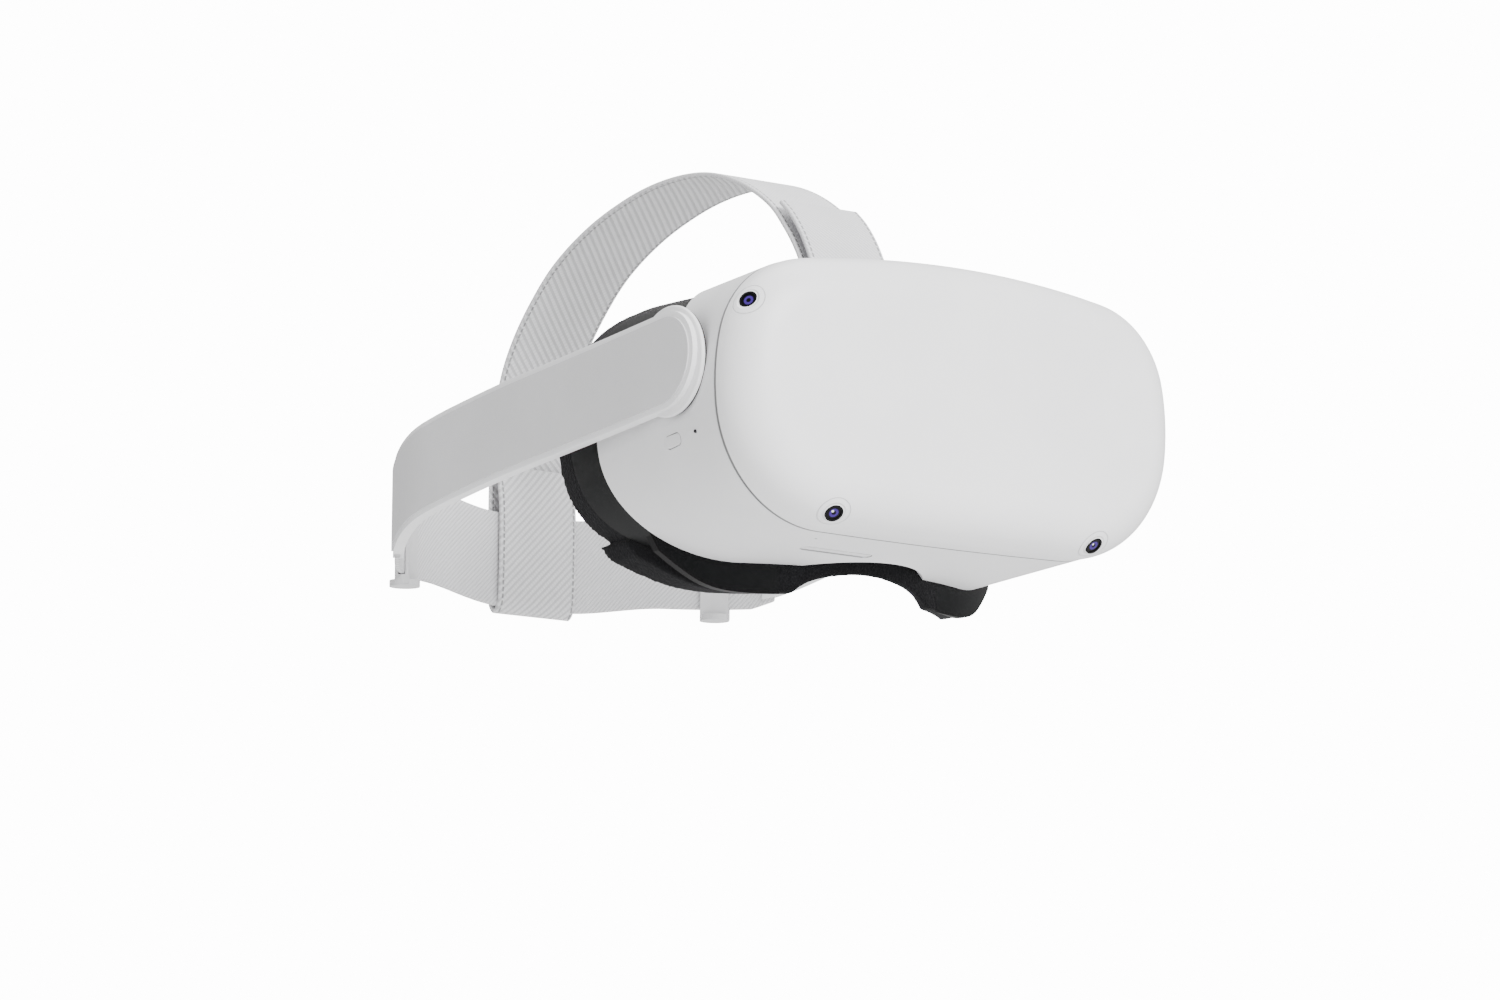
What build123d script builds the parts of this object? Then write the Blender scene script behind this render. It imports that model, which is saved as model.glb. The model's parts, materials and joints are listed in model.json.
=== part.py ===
from build123d import *
import math
import os

os.makedirs("parts", exist_ok=True)

# A head-worn display with a fabric head strap. Sizes are in mm.
# While modelling, x is to the wearer's left, y runs back from the middle of the
# front face and z up from the middle height of the visor. save() moves every part
# to the shared frame: centred in plan, lowest point at z = 0.
COVER_HALF_W = 92.0
COVER_HALF_H = 46.3
COVER_Z = 1.7  # the front outline sits this far above the middle height
TOP_R = 480.0  # the slow curve of the top edge
LOW_R = 2500.0  # the bottom edge is nearly straight
SIDE_R = 75.0
CORNER_R = 34.0
LOW_CORNER_R = 42.0
CROWN_R = 610.0  # the front face bows this slowly across its width
EDGE_R = 15.0  # the big rounding round the front face
SEAM_Y = 22.0
SEAM_GAP = 0.5
WALL = 2.2
REAR_Y = 104.0
REAR_HALF_W = 85.5
REAR_HALF_H = 47.75
REAR_DROP = -4.25  # the cheeks hang lower than the forehead
NOSE_R = 40.0
NOSE_RISE = 33.0  # degrees, how steeply the nose relief climbs to the rear

PIVOT_Y = 46.0
PIVOT_Z = 10.5
PIVOT_R = 7.0
PIVOT_CLEAR = 0.05
ARM_OUTER_X = 95.93
ARM_T = 4.4
POST_REACH = 3.2  # how far the post enters the arm
ARM_HALF_H = 16.0
SKIN_T = 0.7
SKIN_INSET = 1.6

BAND_X = 91.5  # half width of the head loop where its sides meet the corners
LOOP_R = 66.0
LOOP_Y = 186.6
LOOP_X = BAND_X - LOOP_R
BACK_Y = 257.4
BAND_T = 2.0
BAND_HALF_H = 17.0
ARM_END_Y = 224.0
BAND_CLEAR = 0.3

TOP_STRAP_W = 33.0
TOP_STRAP_T = 1.6

LENS_X = 31.5
LENS_Z = 1.0
IPD_TRAVEL = 2.5
LENS_R = 22.4
CARRIER_R = 24.5
RAIL_R, RAIL_Y, RAIL_Z = 1.2, 38.0, (-30.0, 32.0)

DEPTH = 261.671
LOWEST = -58.338


def save(name, shape):
    """Write one part in the shared frame."""
    export_step(Pos(0, -DEPTH / 2, -LOWEST) * shape, f"parts/{name}.step")


def quarter(half_w, half_h, edge_r, corner):
    """Knots of three tangent arcs from the middle of a long edge to the middle of a side."""
    low, out = half_h - edge_r, half_w - SIDE_R
    a, b = edge_r - corner, SIDE_R - corner
    d = math.hypot(out, low)
    ux, uz = out / d, -low / d
    along = (a * a - b * b + d * d) / (2 * d)
    across = math.sqrt(a * a - along * along)
    px, pz = along * ux + across * uz, low + along * uz - across * ux
    t1x, t1z = px * edge_r / a, low + (pz - low) * edge_r / a
    t2x, t2z = out + (px - out) * SIDE_R / b, pz * SIDE_R / b
    mx, mz = (t1x + t2x) / 2 - px, (t1z + t2z) / 2 - pz
    m = math.hypot(mx, mz)
    return [(0, half_h), (t1x, t1z), (px + mx * corner / m, pz + mz * corner / m), (t2x, t2z), (half_w, 0)]


def outline(half_w, half_h, y, z=0.0):
    """The visor's rounded outline as a face across y, its lower edge the flatter one."""
    share = half_h / COVER_HALF_H
    upper = quarter(half_w, half_h, TOP_R, CORNER_R * share)
    lower = quarter(half_w, half_h, LOW_R, LOW_CORNER_R * share)
    knots = upper + [(x, -h) for x, h in reversed(lower[:-1])]
    knots += [(-x, h) for x, h in reversed(knots[1:-1])]
    knots = knots[-1:] + knots
    at = [Vector(x, y, z + h) for x, h in knots]
    return Face(Wire([ThreePointArc(*at[i : i + 3]) for i in range(0, 16, 2)]))


def box(x0, x1, y0, y1, z0, z1):
    """A box between the given corners."""
    size = (x1 - x0, y1 - y0, z1 - z0)
    return Pos((x0 + x1) / 2, (y0 + y1) / 2, (z0 + z1) / 2) * Box(*size)


def rod_x(radius, x0, x1, y, z):
    """A cylinder along x."""
    turned = Plane(origin=(x0, y, z), x_dir=(0, 1, 0), z_dir=(1, 0, 0))
    return extrude(turned * Circle(radius), amount=x1 - x0)


def rod_y(radius, y0, y1, x, z):
    """A cylinder along y."""
    turned = Plane(origin=(x, y0, z), x_dir=(1, 0, 0), z_dir=(0, 1, 0))
    return extrude(turned * Circle(radius), amount=y1 - y0)


def mirrored(shape):
    """The same shape on the wearer's other side."""
    return mirror(shape, about=Plane.YZ)


def cover_block(inset, past=0.0):
    """The front cover's outside, or its inside when inset by the wall and run past the seam."""
    face = outline(COVER_HALF_W - inset, COVER_HALF_H - inset, -1.0, COVER_Z)
    block = extrude(face, amount=SEAM_Y + 1.0 + past, dir=(0, 1, 0))
    block = block & Pos(0, CROWN_R + inset, 0) * Cylinder(CROWN_R, 150)
    front = block.edges().filter_by(lambda e: e.bounding_box().max.Y < 15)
    return fillet(front, EDGE_R - inset)


# Where each tracking camera looks out: centre of its face and its direction.
CAMERAS = {
    "upper": ((84.9, 14.1, 27.0), (0.80, -0.47, 0.36)),
    "lower": ((54.6, 7.7, -40.4), (0.13, -0.72, -0.68)),
}
CAMERA_R = 3.2
CAMERA_DEPTH = 8.0
WINDOW_R = 2.5
WINDOW_T = 0.8


def camera_plane(which):
    """A plane on the camera's face on the wearer's left, its normal looking out."""
    centre, look = CAMERAS[which]
    return Plane(origin=centre, z_dir=look)


def camera_barrel(which):
    """A camera's black barrel with its lens seat."""
    plane = camera_plane(which)
    body = extrude(plane * Circle(CAMERA_R), amount=-CAMERA_DEPTH)
    seat = extrude(plane * Circle(WINDOW_R), amount=-WINDOW_T - 0.3)
    return body - seat


def camera_window(which):
    """The glass in a camera's barrel."""
    plane = camera_plane(which).offset(-0.3)
    return extrude(plane * Circle(WINDOW_R), amount=-WINDOW_T)


def camera_hole(which):
    """What a camera takes out of the cover and the housing."""
    plane = camera_plane(which).offset(6.0)
    return extrude(plane * Circle(CAMERA_R), amount=-CAMERA_DEPTH - 6.0)


def front_cover():
    """The white front cover, open at the back."""
    shell = cover_block(0.0) - cover_block(WALL, 2.0)
    for which in CAMERAS:
        shell = shell - camera_hole(which) - mirrored(camera_hole(which))
    return shell.solids().sort_by(SortBy.VOLUME)[-1]


def seam_gasket():
    """The dark strip in the seam between cover and housing."""
    y0 = SEAM_Y
    ring = extrude(outline(COVER_HALF_W - 0.9, COVER_HALF_H - 0.9, y0, COVER_Z), SEAM_GAP, dir=(0, 1, 0))
    core = outline(COVER_HALF_W - WALL, COVER_HALF_H - WALL, y0, COVER_Z)
    ring = ring - extrude(core, SEAM_GAP, dir=(0, 1, 0))
    for which in CAMERAS:
        ring = ring - camera_hole(which) - mirrored(camera_hole(which))
    return ring


def housing_block(inset):
    """The tapering block behind the seam."""
    front = outline(COVER_HALF_W - inset, COVER_HALF_H - inset, SEAM_Y + SEAM_GAP, COVER_Z)
    return loft([front, outline(REAR_HALF_W - inset, REAR_HALF_H - inset, REAR_Y, REAR_DROP)])


def nose_relief():
    """The rising arch that the nose takes out of the housing's lower rear edge."""
    lie = Pos(0, 46.0, -48.0) * Rot(NOSE_RISE, 0, 0) * Pos(0, 0, -NOSE_R)
    return lie * Rot(90, 0, 0) * Cylinder(NOSE_R, 120)


def plan_face(centre_y, side_y, z):
    """The area behind a plan curve through a middle and two side points."""
    w = 100.0
    curve = ThreePointArc((-w, side_y, z), (0, centre_y, z), (w, side_y, z))
    back = Polyline((w, side_y, z), (w, 200, z), (-w, 200, z), (-w, side_y, z))
    return Face(Wire([curve, *back.edges()]))


def behind_housing(shift):
    """Everything behind the housing's rear edge, which sweeps back at the temples."""
    low = (60.0 + shift, 113.0 + shift)
    high = (78.0 + shift, 40.0 + shift)
    lower = extrude(plan_face(*low, -80.0), amount=76.0, dir=(0, 0, 1))
    middle = loft([plan_face(*low, -4.0), plan_face(*high, 28.0)])
    upper = extrude(plan_face(*high, 28.0), amount=60.0, dir=(0, 0, 1))
    return lower + middle + upper


SIDE_TILT = -6.0  # side details follow the slope of the strap arm
BUTTON_Y, BUTTON_Z = 49.9, -14.7
BUTTON_W, BUTTON_H = 9.0, 3.8
LED_Y, LED_Z, LED_R = 36.0, -13.5, 0.6
ROCKER_X, ROCKER_Y, ROCKER_Z = -27.0, 42.5, -44.5
ROCKER_TILT = 0.6  # follows the slow curve of the underside
ROCKER_W, ROCKER_D = 28.0, 4.2
USB_Y, USB_Z = 58.0, -16.0
PORT_Y, PORT_Z = 35.0, 6.5  # the speaker ports lie behind the arm's hub
JACK_Y, JACK_Z, JACK_R = 40.0, -14.0, 3.4
JACK_BORE_R, JACK_BORE_L = 1.75, 14.0
SURROUND_HALF_W, SURROUND_HALF_H, SURROUND_Y, SURROUND_T = 80.5, 42.0, 50.0, 1.6


def oblong_x(x0, x1, y, z, width, height, tilt):
    """A rounded bar along x, as a button on the side of the housing."""
    a = math.radians(tilt)
    turned = Plane(origin=(x0, y, z), x_dir=(0, math.cos(a), math.sin(a)), z_dir=(1, 0, 0))
    return extrude(turned * SlotOverall(width, height), amount=x1 - x0)


def housing():
    """The white housing behind the seam."""
    shell = housing_block(0.0) - housing_block(WALL) - behind_housing(0.0) - nose_relief()
    slot = box(-TOP_STRAP_W / 2 - 1, TOP_STRAP_W / 2 + 1, 61.4, 74.4, 30, 60)
    shell = shell - slot
    shell = shell - oblong_x(-95, -80, BUTTON_Y, BUTTON_Z, BUTTON_W + 0.3, BUTTON_H + 0.3, SIDE_TILT)
    shell = shell - rod_x(LED_R, -95, -80, LED_Y, LED_Z)
    shell = shell - at_rocker(rocker_bar(ROCKER_W + 0.5, ROCKER_D + 0.5, 6.0))
    shell = shell - oblong_x(80, 95, USB_Y, USB_Z, 9.4, 3.6, SIDE_TILT)
    shell = shell - rod_x(JACK_R, 70, 95, JACK_Y, JACK_Z)
    for side in (rod_x(PIVOT_R, 80, 95, PIVOT_Y, PIVOT_Z), camera_hole("upper")):
        shell = shell - side - mirrored(side)
    for row in range(3):
        port = oblong_x(78, 95, PORT_Y, PORT_Z + 4.0 * row, 3.4, 1.4, SIDE_TILT)
        shell = shell - port - mirrored(port)
    return shell.solids().sort_by(SortBy.VOLUME)[-1]


def strap_post():
    """The fixed post on the wearer's left that the strap arm turns on."""
    return rod_x(PIVOT_R, 86.0, ARM_OUTER_X - ARM_T + POST_REACH, PIVOT_Y, PIVOT_Z)


def top_strap_bar():
    """The pocket and cross bar that the top strap loops round."""
    pocket = box(-22, 22, 60, 75.6, 33.4, 41.6)
    pocket = pocket - box(-18.2, 18.2, 61.4, 74.4, 34.8, 50)
    return pocket + rod_x(1.5, -20, 20, 67.0, 40.5)


def power_button():
    """The side button with its retaining flange."""
    cap = oblong_x(-88.7, -84.0, BUTTON_Y, BUTTON_Z, BUTTON_W, BUTTON_H, SIDE_TILT)
    return cap + oblong_x(-84.8, -84.0, BUTTON_Y, BUTTON_Z, BUTTON_W + 2, BUTTON_H + 2, SIDE_TILT)


def power_switch():
    """The switch behind the power button."""
    return box(-83.3, -81.3, BUTTON_Y - 3, BUTTON_Y + 3, BUTTON_Z - 2, BUTTON_Z + 2)


def rocker_bar(width, depth, half_t):
    """The rocker's bar with rounded ends, before it is placed."""
    bar = box(-width / 2, width / 2, -depth / 2, depth / 2, -half_t, half_t)
    return fillet(bar.edges().filter_by(Axis.Z), 1.9)


def at_rocker(shape):
    """Something placed at the rocker under the visor."""
    return Pos(ROCKER_X, ROCKER_Y, ROCKER_Z) * Rot(0, ROCKER_TILT, 0) * shape


def volume_rocker():
    """The rocker bar under the visor."""
    return at_rocker(rocker_bar(ROCKER_W, ROCKER_D, 1.6))


def volume_switch():
    """The two contact domes and their board above the rocker."""
    board = box(-15, 15, -3, 3, 2.8, 3.8)
    for x in (-10, 10):
        board = board + Pos(x, 0, 2.5) * Cylinder(1.5, 0.6)
    return at_rocker(board)


def usb_c_socket():
    """The charging socket on the wearer's left side."""
    body = oblong_x(80.5, 88.6, USB_Y, USB_Z, 9.2, 3.4, SIDE_TILT)
    body = body - oblong_x(82.0, 95, USB_Y, USB_Z, 8.4, 2.6, SIDE_TILT)
    return body + oblong_x(81.0, 87.4, USB_Y, USB_Z, 6.4, 0.7, SIDE_TILT)


def audio_jack_socket():
    """The headphone socket on the wearer's left side."""
    body = rod_x(JACK_R, 74.0, 89.6, JACK_Y, JACK_Z)
    return body - rod_x(JACK_BORE_R, 89.6 - JACK_BORE_L, 89.6, JACK_Y, JACK_Z)


def heat_spreader():
    """The metal plate behind the front cover."""
    return box(-54, 54, 10.8, 11.6, -22, 28)


def mainboard():
    """The circuit board with its chips."""
    board = box(-59, 59, 12.0, 13.6, -24, 30)
    board = board + box(-6, 10, 11.6, 12.0, -4, 12)
    return board + box(14, 28, 13.6, 14.4, -20, -8)


def battery():
    """The battery pack."""
    block = box(4, 62, 15.0, 21.0, -6, 30)
    return fillet(block.edges().filter_by(Axis.Z), 2.0)


FAN_X, FAN_Z, FAN_R = -30.0, 3.0, 18.0


def fan_housing():
    """The blower's case, with an intake, an outlet and the rotor's pin."""
    case = box(FAN_X - 22, FAN_X + 22, 14.4, 22.0, FAN_Z - 22, FAN_Z + 24)
    case = case - rod_y(FAN_R + 0.8, 15.2, 21.2, FAN_X, FAN_Z)
    case = case - rod_y(9.5, 14.4, 22.0, FAN_X, FAN_Z)
    case = case - box(FAN_X - 18, FAN_X + 2, 15.2, 21.2, FAN_Z, FAN_Z + 24)
    spider = box(FAN_X - 10, FAN_X + 10, 14.4, 15.2, FAN_Z - 1.5, FAN_Z + 1.5)
    return case + spider + rod_y(1.0, 14.4, 20.6, FAN_X, FAN_Z)


def fan_rotor():
    """The blower's wheel with curved-back blades."""
    wheel = rod_y(6.0, 15.8, 20.6, 0, 0) + rod_y(FAN_R - 1, 15.8, 16.4, 0, 0)
    for i in range(13):
        blade = box(5.5, FAN_R - 1.4, 16.4, 20.6, -0.4, 0.4)
        blade = Rot(0, 28, 0) * Pos(-6, 0, 0) * blade
        wheel = wheel + Rot(0, i * 360 / 13, 0) * Pos(5.2, 0, 2.8) * blade
    wheel = wheel & rod_y(FAN_R - 0.6, 15.8, 20.6, 0, 0)
    return Pos(FAN_X, 0, FAN_Z) * (wheel - rod_y(1.05, 10, 25, 0, 0))


def display_frame():
    """The chassis that carries the display and the lens rails."""
    frame = fillet(box(-72, 72, 24.0, 29.6, -37, 37).edges().filter_by(Axis.Y), 8.0)
    frame = frame - box(-66, 66, 27.8, 29.6, -34, 34)
    for x in (-69, 69):
        for z in RAIL_Z:
            frame = frame + box(x - 2, x + 2, 29.0, 41.0, z - 2.6, z + 2.6)
            frame = frame - rod_x(RAIL_R, x - 2, x + 2, RAIL_Y, z)
    return frame


def display_panel():
    """The flat display."""
    return box(-66, 66, 27.8, 29.4, -34, 34)


def frame_screws():
    """Four screws that hold the chassis."""
    spots = [(x, z) for x in (-69, 69) for z in (-14, 14)]
    return Compound([rod_y(2.2, 29.6, 31.0, *at) - rod_y(0.9, 30.2, 31.0, *at) for at in spots])


def ipd_guide_rods():
    """The two rods that the lenses slide along."""
    return Compound([rod_x(RAIL_R, -71, 71, RAIL_Y, z) for z in RAIL_Z])


def lens_carrier():
    """One lens tube with its lugs on the guide rods, on the wearer's left."""
    tube = rod_y(CARRIER_R, 33.0, 53.6, LENS_X, LENS_Z)
    low, high = RAIL_Z
    tube = tube + box(LENS_X - 5, LENS_X + 5, RAIL_Y - 2.6, RAIL_Y + 2.6, low - 2.6, high + 2.6)
    for z in RAIL_Z:
        tube = tube - rod_x(RAIL_R + 0.06, LENS_X - 6, LENS_X + 6, RAIL_Y, z)
    return tube - rod_y(LENS_R, 30.0, 60.0, LENS_X, LENS_Z)


def lens():
    """One domed lens, on the wearer's left."""
    disc = rod_y(LENS_R, 46.0, 52.6, LENS_X, LENS_Z)
    dome = Pos(LENS_X, 52.2 - 60.0, LENS_Z) * Sphere(60.0)
    return disc & dome


def lens_surround():
    """The black mask round both lenses, with a skirt that lines the housing."""
    half_w, half_h, y = SURROUND_HALF_W, SURROUND_HALF_H, SURROUND_Y
    plate = extrude(outline(half_w, half_h, y), 50.0, dir=(0, 1, 0))
    plate = plate - extrude(outline(half_w - 1.2, half_h - 1.2, y + SURROUND_T), 60.0, dir=(0, 1, 0))
    for side in (-1, 1):
        for x in (-IPD_TRAVEL, IPD_TRAVEL):
            plate = plate - rod_y(CARRIER_R + 0.6, 49, 53, side * LENS_X + x, LENS_Z)
        plate = plate - box(
            side * LENS_X - IPD_TRAVEL, side * LENS_X + IPD_TRAVEL, 49, 53,
            LENS_Z - CARRIER_R - 0.6, LENS_Z + CARRIER_R + 0.6,
        )
    plate = plate - behind_housing(-1.0) - box(-22.5, 22.5, 59, 90, 20, 50)
    return plate.solids().sort_by(SortBy.VOLUME)[-1]


def proximity_sensor():
    """The small window that notices a face."""
    return fillet(box(-4, 4, 51.6, 52.6, 24, 28).edges().filter_by(Axis.Y), 1.5)


def speaker():
    """A speaker box behind the ports, on the wearer's left."""
    return fillet(box(73.0, 78.0, 28, 45, 4, 17).edges().filter_by(Axis.X), 2.0)


FACE_CENTRE_Y, FACE_SIDE_Y = 98.0, 150.0
FOAM_T = 12.5
CHEEK_Z, BROW_Z = -36.0, -8.0  # the face curve changes from cheeks to brow between these
# Half of the cheek curve where the foam ends, and where it meets the plastic.
CHEEK_REST = [(0, 62.0), (14, 63.2), (28, 68.0), (40, 75.5), (50, 84.5), (60, 97.0), (70, 113.0), (88, 143.0)]
CHEEK_JOINT = [(0, 56.0), (14, 57.2), (28, 62.4), (40, 68.6), (50, 75.0), (60, 83.5), (70, 97.0), (88, 126.0)]
FLAP_LOW = -58.2  # the lowest point of the cheeks


def interface_block(inset):
    """The face piece's outside, dropping to the cheeks as it runs back."""
    front = outline(88.4 - inset, 44.4 - inset, 40.0, -1.7)
    middle = outline(85.3 - inset, 48.4 - inset, 92.0, -3.0)
    return loft([front, middle, outline(78.5 - inset, 51.6 - inset, 138.0, -4.4)])


def nose_notch():
    """The room for the nose, with a low arch at its front."""
    room = box(-24, 24, 72, 160, -70, -50) + rod_y(24, 72, 160, 0, -50)
    sill = [(-30.5, -60.0), (-28.0, -57.0), (-23.0, -53.6), (-12.0, -50.6), (0.0, -49.4)]
    sill += [(-x, z) for x, z in reversed(sill[:-1])]
    curve = Spline(*[(x, 30, z) for x, z in sill])
    base = Polyline(curve @ 1, (30.5, 30, -80), (-30.5, 30, -80), curve @ 0)
    return room + extrude(Face(Wire([*curve.edges(), *base.edges()])), amount=90, dir=(0, 1, 0))


def cheek_face(half, shift, z):
    """The area behind a cheek curve."""
    points = [(x, y + shift, z) for x, y in half]
    curve = Spline(*[(-x, y, z) for x, y, _ in reversed(points[1:])], *points)
    start, end = curve @ 0, curve @ 1
    back = Polyline(end, (end.X, 220, z), (start.X, 220, z), start)
    return Face(Wire([*curve.edges(), *back.edges()]))


def behind_face(half, shift):
    """Everything behind a surface that follows the cheeks below and the brow above."""
    brow = (FACE_CENTRE_Y + shift, FACE_SIDE_Y + shift)
    lower = extrude(cheek_face(half, 0.0, -80.0), amount=80.0 + CHEEK_Z, dir=(0, 0, 1))
    middle = loft([cheek_face(half, 0.0, CHEEK_Z), plan_face(*brow, BROW_Z)])
    upper = extrude(plan_face(*brow, BROW_Z), amount=90.0, dir=(0, 0, 1))
    return lower + middle + upper


def cheek_skirt(inset):
    """What reaches below the housing: a flap to each cheek and the bridge between them."""
    low = FLAP_LOW + inset
    out = [(70.0 - inset, -45.0), (64.0 - inset, -50.8), (56.0, low + 2.0), (46.0, low), (33.0, low)]
    side = Spline(*[(x, 0, z) for x, z in out])
    rest = Polyline(side @ 1, (-1, 0, low), (-1, 0, -40), (72.0 - inset, 0, -40), side @ 0)
    flap = extrude(Face(Wire([*side.edges(), *rest.edges()])), amount=160, dir=(0, 1, 0))
    return flap + mirrored(flap)


def interface_frame():
    """The black plastic of the removable face piece."""
    skirt = cheek_skirt(0.0) & behind_housing(BAND_CLEAR)
    skirt = skirt - behind_housing(BAND_CLEAR + 3.0) - interface_block(3.0)
    frame = (interface_block(0.0) - interface_block(3.0)) & behind_housing(BAND_CLEAR)
    frame = (frame + skirt) - behind_face(CHEEK_JOINT, -FOAM_T) - nose_notch()
    return frame.solids().sort_by(SortBy.VOLUME)[-1]


def face_foam():
    """The black foam that rests on the face."""
    pad = interface_block(0.6) + cheek_skirt(0.6)
    pad = pad - (interface_block(11.0) & behind_face(CHEEK_JOINT, -FOAM_T))
    pad = pad & behind_face(CHEEK_JOINT, -FOAM_T + 0.02) & behind_housing(BAND_CLEAR + 0.02)
    pad = pad - behind_face(CHEEK_REST, 0.0) - nose_notch()
    return pad.solids().sort_by(SortBy.VOLUME)[-1]


def loop_face(off, z=-90.0):
    """The area inside the head loop, its centreline moved out by off."""
    rise = BACK_Y - LOOP_Y - LOOP_R
    back_r = BACK_Y - LOOP_Y + (LOOP_X**2 - rise**2) / (2 * rise)
    phi = math.atan2(LOOP_Y - BACK_Y + back_r, LOOP_X)
    r = LOOP_R + off

    def on(angle, side):
        return (side * (LOOP_X + r * math.cos(angle)), LOOP_Y + r * math.sin(angle), z)

    front_x = ARM_OUTER_X - ARM_T / 2 + off
    edges = [
        Line((front_x, 20, z), on(0, 1)),
        ThreePointArc(on(0, 1), on(phi / 2, 1), on(phi, 1)),
        ThreePointArc(on(phi, 1), (0, BACK_Y + off, z), on(phi, -1)),
        ThreePointArc(on(phi, -1), on(phi / 2, -1), on(0, -1)),
        Line(on(0, -1), (-front_x, 20, z)),
        Line((-front_x, 20, z), (front_x, 20, z)),
    ]
    return Face(Wire(edges))


def loop_band(inner, outer):
    """A tall ring between two offsets of the head loop."""
    ring = extrude(loop_face(outer), amount=160, dir=(0, 0, 1))
    return ring - extrude(loop_face(inner), amount=160, dir=(0, 0, 1))


def side_view(face):
    """A side-view face taken right across the head."""
    return extrude(face, amount=120, dir=(1, 0, 0), both=True)


ARM_LINE = [(46, 10.5), (82, 6.7), (143, 0.8), (185, -4.8), (206, -9.8), (224, -16.6)]
STRAP_LINE = [(224, -16.6), (228, -18.0), (247, -18.0), (258.5, -22.0)]


def strip_face(line, half, smooth):
    """A strip of the side view with the given centreline and half height."""
    make = Spline if smooth else Polyline
    top = make(*[(0, y, z + half) for y, z in line])
    low = make(*[(0, y, z - half) for y, z in reversed(line)])
    ends = [Line(top @ 1, low @ 0), Line(low @ 1, top @ 0)]
    return Face(Wire([*top.edges(), ends[0], *low.edges(), ends[1]]))


def arm_silhouette(inset):
    """The strap arm in side view, round at its pivot end."""
    half = ARM_HALF_H - inset
    line = ARM_LINE[:-1] + [(ARM_END_Y - inset, ARM_LINE[-1][1] + 0.4 * inset)]
    strip = side_view(strip_face(line, half, True))
    return strip + rod_x(half, -120, 120, PIVOT_Y, PIVOT_Z)


def one_side(shape):
    """What lies on the wearer's left."""
    return shape & box(20, 120, 0, 300, -90, 90)


def arm():
    """The arm on the wearer's left, with its bearing hole."""
    half_t = ARM_T / 2
    plate = one_side(loop_band(-half_t, half_t - SKIN_T) & arm_silhouette(0.0))
    rim = one_side(loop_band(half_t - SKIN_T, half_t) & arm_silhouette(0.0))
    plate = plate + (rim - arm_silhouette(SKIN_INSET))
    reach = ARM_OUTER_X - ARM_T + POST_REACH + BAND_CLEAR
    return plate - rod_x(PIVOT_R + PIVOT_CLEAR, 85, reach, PIVOT_Y, PIVOT_Z)


def arm_skin():
    """The light grey facing of the arm on the wearer's left."""
    half_t = ARM_T / 2
    return one_side(loop_band(half_t - SKIN_T, half_t) & arm_silhouette(SKIN_INSET))


def rear_strap():
    """The woven strap round the back of the head."""
    band = loop_band(-BAND_T / 2, BAND_T / 2)
    return band & side_view(strip_face(STRAP_LINE, BAND_HALF_H, False))


SLIDER_AT = 50.5  # degrees round the loop's corner
SLIDER_HALF = 4.6
SLIDER_TOP, SLIDER_LOW = 0.6, -38.6


def slider():
    """The sliding size clip on the wearer's left."""
    low, high = SLIDER_LOW, SLIDER_TOP

    def ring(r0, r1, z0, z1, half):
        whole = Pos(0, 0, (z0 + z1) / 2) * (Cylinder(r1, z1 - z0) - Cylinder(r0, z1 - z0))
        reach = 2 * r1
        a0, a1 = (math.radians(SLIDER_AT + s * half) for s in (-1, 1))
        wedge = Polyline(
            (0, 0), (reach * math.cos(a0), reach * math.sin(a0)),
            (reach * math.cos(a1), reach * math.sin(a1)), close=True,
        )
        wedge = Pos(0, 0, z0) * extrude(make_face(wedge.edges()), amount=z1 - z0)
        return whole & wedge

    r0, r1 = LOOP_R - BAND_T / 2, LOOP_R + BAND_T / 2
    clip = ring(r0 - 1.6, r1 + 1.5, low, high, SLIDER_HALF)
    gap = BAND_CLEAR
    middle = sum(STRAP_LINE[1][1:])
    clip = clip - ring(r0 - gap, r1 + gap, middle - BAND_HALF_H - gap, middle + BAND_HALF_H + gap, 9)
    a = math.radians(SLIDER_AT)
    foot = Pos((LOOP_R + 0.2) * math.cos(a), (LOOP_R + 0.2) * math.sin(a), low + 0.6) * Cylinder(5.4, 2.2)
    return Pos(LOOP_X, LOOP_Y, 0) * (clip + foot)


def strap_sweep(points):
    """Webbing laid along a side-view curve."""
    path = Spline(*[(0, y, z) for y, z in points])
    start = Plane(origin=path @ 0, x_dir=(1, 0, 0), z_dir=path % 0)
    return sweep(start * Rectangle(TOP_STRAP_W, TOP_STRAP_T), path=path)


def top_strap_front():
    """The top strap's front end: through the slot, round the bar and back on itself."""
    tail = [(88.4, 81.0), (82.5, 75.6), (76.6, 68.0), (71.6, 59.0), (67.6, 50.5)]
    turn = [(64.8, 44.0), (64.4, 40.4), (65.8, 37.6), (68.4, 37.5), (70.0, 40.2)]
    band = [(71.2, 44.6), (74.6, 54.0), (79.6, 63.4), (85.6, 71.6), (92.0, 78.6)]
    return strap_sweep(tail + turn + band)


def top_strap_rear():
    """The top strap over the head, under the rear strap and sewn to itself."""
    over = [(94.3, 80.9), (108, 89.6), (123.6, 95.8), (140, 98.8), (160, 98.8)]
    down = [(180, 95.8), (202, 89.4), (222.4, 79.4), (238, 66.4), (248.8, 53.6)]
    back = [(255.2, 41.0), (259.4, 24.0), (260.8, 4.0), (260.6, -18.0), (260.3, -34.0)]
    under = [(259.7, -38.6), (257.2, -40.9), (254.8, -38.6), (253.9, -33.0), (253.6, -18.0)]
    flap = [(253.8, -4.0), (255.0, 5.0), (256.9, 13.0)]
    return strap_sweep(over + down + back + under + flap)


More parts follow.
